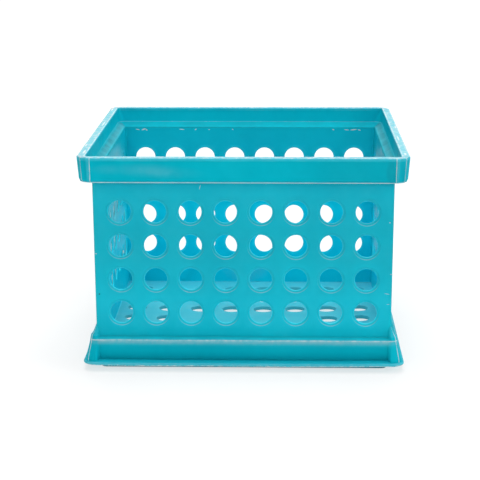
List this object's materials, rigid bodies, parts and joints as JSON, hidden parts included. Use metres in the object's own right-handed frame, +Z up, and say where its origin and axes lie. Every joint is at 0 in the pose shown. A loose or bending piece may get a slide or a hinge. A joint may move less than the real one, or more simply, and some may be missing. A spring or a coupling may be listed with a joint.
{
  "type": "milk bottle crate",
  "caption": "Square open plastic crate for milk bottles, with round holes in its walls and floor, a flared stacking collar and a flanged base.",
  "frame": {"origin": "centre of the ground face, under the middle of the crate", "axes": "+Z up, front along -Y, +X to the right as seen from the front"},
  "size_m": [0.33, 0.33, 0.222],
  "materials": {
    "teal_plastic": "satin moulded polyethylene in teal, scuffed and whitened along its edges"
  },
  "bodies": {
    "root": {"corner_block_back_left": "teal_plastic", "corner_block_back_right": "teal_plastic", "corner_block_front_left": "teal_plastic", "corner_block_front_right": "teal_plastic", "flange_back": "teal_plastic", "flange_front": "teal_plastic", "flange_left": "teal_plastic", "flange_right": "teal_plastic", "floor_panel": "teal_plastic", "neck_back": "teal_plastic", "neck_front": "teal_plastic", "neck_left": "teal_plastic", "neck_right": "teal_plastic", "plinth_back": "teal_plastic", "plinth_front": "teal_plastic", "plinth_left": "teal_plastic", "plinth_right": "teal_plastic", "rim_cap_back": "teal_plastic", "rim_cap_front": "teal_plastic", "rim_cap_left": "teal_plastic", "rim_cap_right": "teal_plastic", "shoulder_back": "teal_plastic", "shoulder_front": "teal_plastic", "shoulder_left": "teal_plastic", "shoulder_right": "teal_plastic", "skirt_back": "teal_plastic", "skirt_front": "teal_plastic", "skirt_left": "teal_plastic", "skirt_right": "teal_plastic", "wall_back": "teal_plastic", "wall_front": "teal_plastic", "wall_left": "teal_plastic", "wall_right": "teal_plastic"}
  },
  "joints": []
}
